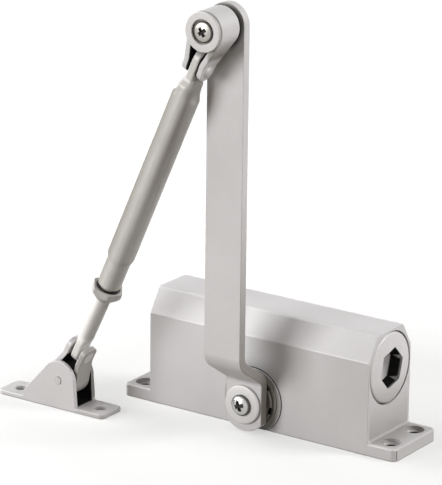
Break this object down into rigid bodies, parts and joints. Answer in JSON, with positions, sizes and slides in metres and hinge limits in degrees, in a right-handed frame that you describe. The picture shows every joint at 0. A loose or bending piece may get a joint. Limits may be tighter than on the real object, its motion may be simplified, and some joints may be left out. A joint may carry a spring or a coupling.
{
  "type": "surface door closer",
  "caption": "Surface door closer: rack and pinion body with end plugs, cranked main arm, adjustable forearm with lock nut, and a screw-on shoe for the frame.",
  "frame": {"origin": "centre of the four body screw holes, on the mounting face", "axes": "+X along the body to the spring end, +Y away from the arm side, +Z away from the mounting face"},
  "size_m": [0.223, 0.094, 0.231],
  "materials": {
    "satin_silver": "fine grained satin silver coating",
    "satin_alloy": "fine grained satin silver coating on die-cast aluminium",
    "satin_nickel": "satin nickel plated steel",
    "bright_chrome": "bright plated",
    "machined_steel": "ground steel",
    "brass": "turned brass",
    "seal_rubber": "black nitrile rubber"
  },
  "bodies": {
    "closer_body": {"housing": "satin_alloy", "spring_end_plug": "satin_silver", "spring_end_seal": "seal_rubber", "pressure_end_plug": "satin_silver", "pressure_end_seal": "seal_rubber", "front_bearing_nut": "satin_silver", "rear_bearing_nut": "satin_silver", "front_nut_seal": "seal_rubber", "rear_nut_seal": "seal_rubber", "front_bearing": "machined_steel", "rear_bearing": "machined_steel", "front_shaft_seal": "seal_rubber", "rear_shaft_seal": "seal_rubber", "rear_dust_cap": "satin_silver", "closing_spring": "machined_steel", "spring_seat": "machined_steel"},
    "spindle_and_arm": {"pinion": "machined_steel", "main_arm": "satin_silver", "spindle_washer": "satin_nickel", "spindle_screw": "bright_chrome", "elbow_pin": "machined_steel", "elbow_spacer": "machined_steel", "elbow_washer": "satin_nickel", "elbow_screw": "bright_chrome"},
    "piston": {"piston": "machined_steel", "check_valve_retainer": "brass"},
    "check_ball": {"check_valve_ball": "bright_chrome"},
    "closing_valve": {"closing_speed_valve": "brass", "closing_valve_seal": "seal_rubber"},
    "latching_valve": {"latching_speed_valve": "brass", "latching_valve_seal": "seal_rubber"},
    "elbow": {"elbow_clevis": "satin_silver", "elbow_bush": "brass", "elbow_rivet": "satin_nickel"},
    "forearm": {"forearm_tube": "satin_nickel"},
    "lock_nut": {"lock_nut": "satin_nickel"},
    "rod": {"adjusting_rod": "satin_nickel"},
    "foot": {"foot_link": "satin_silver", "foot_bush": "brass", "foot_rivet": "satin_nickel"},
    "shoe": {"shoe": "satin_silver", "shoe_pin": "machined_steel"}
  },
  "joints": [
    {"name": "spindle_turn", "type": "hinge", "parent": "closer_body", "child": "spindle_and_arm", "pos_m": [-0.002, 0, 0.0155], "axis": [0, 1, 0], "range_deg": [0, 160], "stiffness_Nm_per_rad": 6, "springref_deg": -68.75},
    {"name": "piston_slide", "type": "slide", "parent": "closer_body", "child": "piston", "axis": [1, 0, 0], "range_m": [0, 0.028], "deforming": ["closing_spring"]},
    {"name": "check_ball_lift", "type": "slide", "parent": "piston", "child": "check_ball", "axis": [-1, 0, 0], "range_m": [0, 0.0008]},
    {"name": "closing_valve_turn", "type": "hinge", "parent": "closer_body", "child": "closing_valve", "pos_m": [-0.034, 0.012, 0.0155], "axis": [0, 1, 0], "range_deg": [0, 360]},
    {"name": "latching_valve_turn", "type": "hinge", "parent": "closer_body", "child": "latching_valve", "pos_m": [-0.05, 0.012, 0.0155], "axis": [0, 1, 0], "range_deg": [0, 360]},
    {"name": "elbow_swing", "type": "hinge", "parent": "spindle_and_arm", "child": "elbow", "pos_m": [-0.002, -0.0599, 0.22], "axis": [0, 1, 0], "range_deg": [-12, 150]},
    {"name": "forearm_tilt", "type": "hinge", "parent": "elbow", "child": "forearm", "pos_m": [-0.01154, -0.0589, 0.19962], "axis": [0.9057, 0, -0.4238], "range_deg": [-20, 5]},
    {"name": "lock_nut_turn", "type": "hinge", "parent": "forearm", "child": "lock_nut", "pos_m": [-0.01154, -0.0589, 0.19962], "axis": [-0.4232, 0.0541, -0.9044], "continuous": true},
    {"name": "rod_slide", "type": "slide", "parent": "forearm", "child": "rod", "axis": [-0.4232, 0.0541, -0.9044], "range_m": [0, 0.025]},
    {"name": "foot_tilt", "type": "hinge", "parent": "rod", "child": "foot", "pos_m": [-0.09172, -0.04879, 0.03112], "axis": [0.8904, 0, -0.4552], "range_deg": [-15, 15]},
    {"name": "shoe_swing", "type": "hinge", "parent": "foot", "child": "shoe", "pos_m": [-0.09954, -0.04879, 0.0158], "axis": [0, 1, 0], "range_deg": [-70, 100]}
  ],
  "couplings": [
    {"joint": "piston_slide", "follows": "spindle_turn", "m_per_rad": 0.01}
  ]
}
